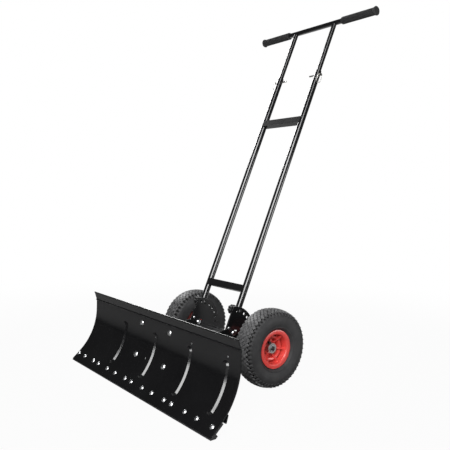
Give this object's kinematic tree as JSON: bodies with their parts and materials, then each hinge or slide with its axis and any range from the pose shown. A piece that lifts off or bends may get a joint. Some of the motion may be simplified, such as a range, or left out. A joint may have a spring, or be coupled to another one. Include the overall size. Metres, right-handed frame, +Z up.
{
  "type": "wheeled snow pusher",
  "caption": "Curved steel snow blade on pneumatic wheels, with a tilting handle that telescopes on two pinned legs and ends in a crossbar with grips.",
  "frame": {"origin": "on the floor, below the middle of the axle and midway between the wheels", "axes": "+X to the right of someone who stands in front of the blade and looks at it, +Y from the blade towards the user, +Z up"},
  "size_m": [0.87, 0.823, 1.3026],
  "materials": {
    "black_steel": "gloss black powder coat",
    "strip": "dull black polymer",
    "zinc": "bright zinc plate",
    "black_plastic": "moulded black plastic",
    "tyre": "ribbed block tread",
    "tube": "smooth rubber",
    "red_steel": "gloss red paint",
    "axle": "black oxide",
    "bearing": "bearing steel",
    "grip": "soft grip with fine lengthwise ribs"
  },
  "bodies": {
    "chassis": {"blade": "black_steel", "rear_stiffener": "black_steel", "wear_strip": "strip", "strip_bolts": "zinc", "strip_nuts": "zinc", "strap_bolts": "zinc", "strap_nuts": "zinc", "small_rivets": "zinc", "blade_arm_left": "black_steel", "blade_arm_right": "black_steel", "cross_tube": "black_steel", "cross_tube_caps": "black_plastic", "side_plate_left": "black_steel", "side_plate_right": "black_steel", "stop_screws": "zinc", "pivot_bolts": "zinc", "pivot_nuts": "zinc", "axle": "axle", "axle_spacers": "zinc", "axle_clips": "zinc"},
    "handle_lower": {"leg_tube_left": "black_steel", "leg_tube_right": "black_steel", "lower_crossbar": "black_steel", "upper_crossbar": "black_steel", "leg_plugs": "black_plastic"},
    "handle_upper": {"upper_tube_left": "black_steel", "upper_tube_right": "black_steel", "top_bar": "black_steel", "grip_left": "grip", "grip_right": "grip"},
    "wheel_left": {"tyre_left": "tyre", "inner_tube_left": "tube", "rim_left": "red_steel", "hub_left": "zinc", "bearings_left": "bearing", "valve_left": "black_plastic", "valve_cap_left": "black_plastic"},
    "index_bolt_left": {"index_bolt_left": "axle"},
    "knob_washer_left": {"knob_washer_left": "zinc"},
    "tilt_knob_left": {"tilt_knob_left": "black_plastic"},
    "lock_pin_left": {"lock_pin_left": "zinc"},
    "pin_loop_left": {"pin_loop_left": "zinc"},
    "wheel_right": {"tyre_right": "tyre", "inner_tube_right": "tube", "rim_right": "red_steel", "hub_right": "zinc", "bearings_right": "bearing", "valve_right": "black_plastic", "valve_cap_right": "black_plastic"},
    "index_bolt_right": {"index_bolt_right": "axle"},
    "knob_washer_right": {"knob_washer_right": "zinc"},
    "tilt_knob_right": {"tilt_knob_right": "black_plastic"},
    "lock_pin_right": {"lock_pin_right": "zinc"},
    "pin_loop_right": {"pin_loop_right": "zinc"}
  },
  "joints": [
    {"name": "wheel_left", "type": "hinge", "parent": "chassis", "child": "wheel_left", "pos_m": [0, 0, 0.13], "axis": [1, 0, 0], "continuous": true},
    {"name": "wheel_right", "type": "hinge", "parent": "chassis", "child": "wheel_right", "pos_m": [0, 0, 0.13], "axis": [1, 0, 0], "continuous": true},
    {"name": "handle_tilt", "type": "hinge", "parent": "chassis", "child": "handle_lower", "pos_m": [0, -0.078, 0.169], "axis": [-1, 0, 0], "range_deg": [-14.5, 72.5]},
    {"name": "handle_extend", "type": "slide", "parent": "handle_lower", "child": "handle_upper", "axis": [0, 0.3933, 0.9194], "range_m": [0, 0.15]},
    {"name": "lock_pin_left_pull", "type": "slide", "parent": "handle_lower", "child": "lock_pin_left", "axis": [-1, 0, 0], "range_m": [0, 0.055]},
    {"name": "pin_loop_left_swing", "type": "hinge", "parent": "lock_pin_left", "child": "pin_loop_left", "pos_m": [-0.1162, 0.31097, 1.0783], "axis": [0, 0.9194, -0.3933], "range_deg": [0, 110]},
    {"name": "lock_pin_right_pull", "type": "slide", "parent": "handle_lower", "child": "lock_pin_right", "axis": [1, 0, 0], "range_m": [0, 0.055]},
    {"name": "pin_loop_right_swing", "type": "hinge", "parent": "lock_pin_right", "child": "pin_loop_right", "pos_m": [0.1162, 0.31097, 1.0783], "axis": [0, -0.9194, 0.3933], "range_deg": [0, 110]},
    {"name": "index_bolt_left_pull", "type": "slide", "parent": "handle_lower", "child": "index_bolt_left", "axis": [1, 0, 0], "range_m": [0, 0.042]},
    {"name": "knob_washer_left_off", "type": "slide", "parent": "handle_lower", "child": "knob_washer_left", "axis": [-1, 0, 0], "range_m": [0, 0.0121]},
    {"name": "tilt_knob_left_turn", "type": "hinge", "parent": "knob_washer_left", "child": "tilt_knob_left", "pos_m": [-0.1004, -0.0485, 0.23796], "axis": [-1, 0, 0], "range_deg": [0, 3456]},
    {"name": "index_bolt_right_pull", "type": "slide", "parent": "handle_lower", "child": "index_bolt_right", "axis": [1, 0, 0], "range_m": [0, 0.042]},
    {"name": "knob_washer_right_off", "type": "slide", "parent": "handle_lower", "child": "knob_washer_right", "axis": [-1, 0, 0], "range_m": [0, 0.0121]},
    {"name": "tilt_knob_right_turn", "type": "hinge", "parent": "knob_washer_right", "child": "tilt_knob_right", "pos_m": [0.1004, -0.0485, 0.23796], "axis": [-1, 0, 0], "range_deg": [0, 3456]}
  ],
  "couplings": [
    {"joint": "knob_washer_left_off", "follows": "tilt_knob_left_turn", "m_per_rad": 0.00019894},
    {"joint": "knob_washer_right_off", "follows": "tilt_knob_right_turn", "m_per_rad": 0.00019894}
  ]
}
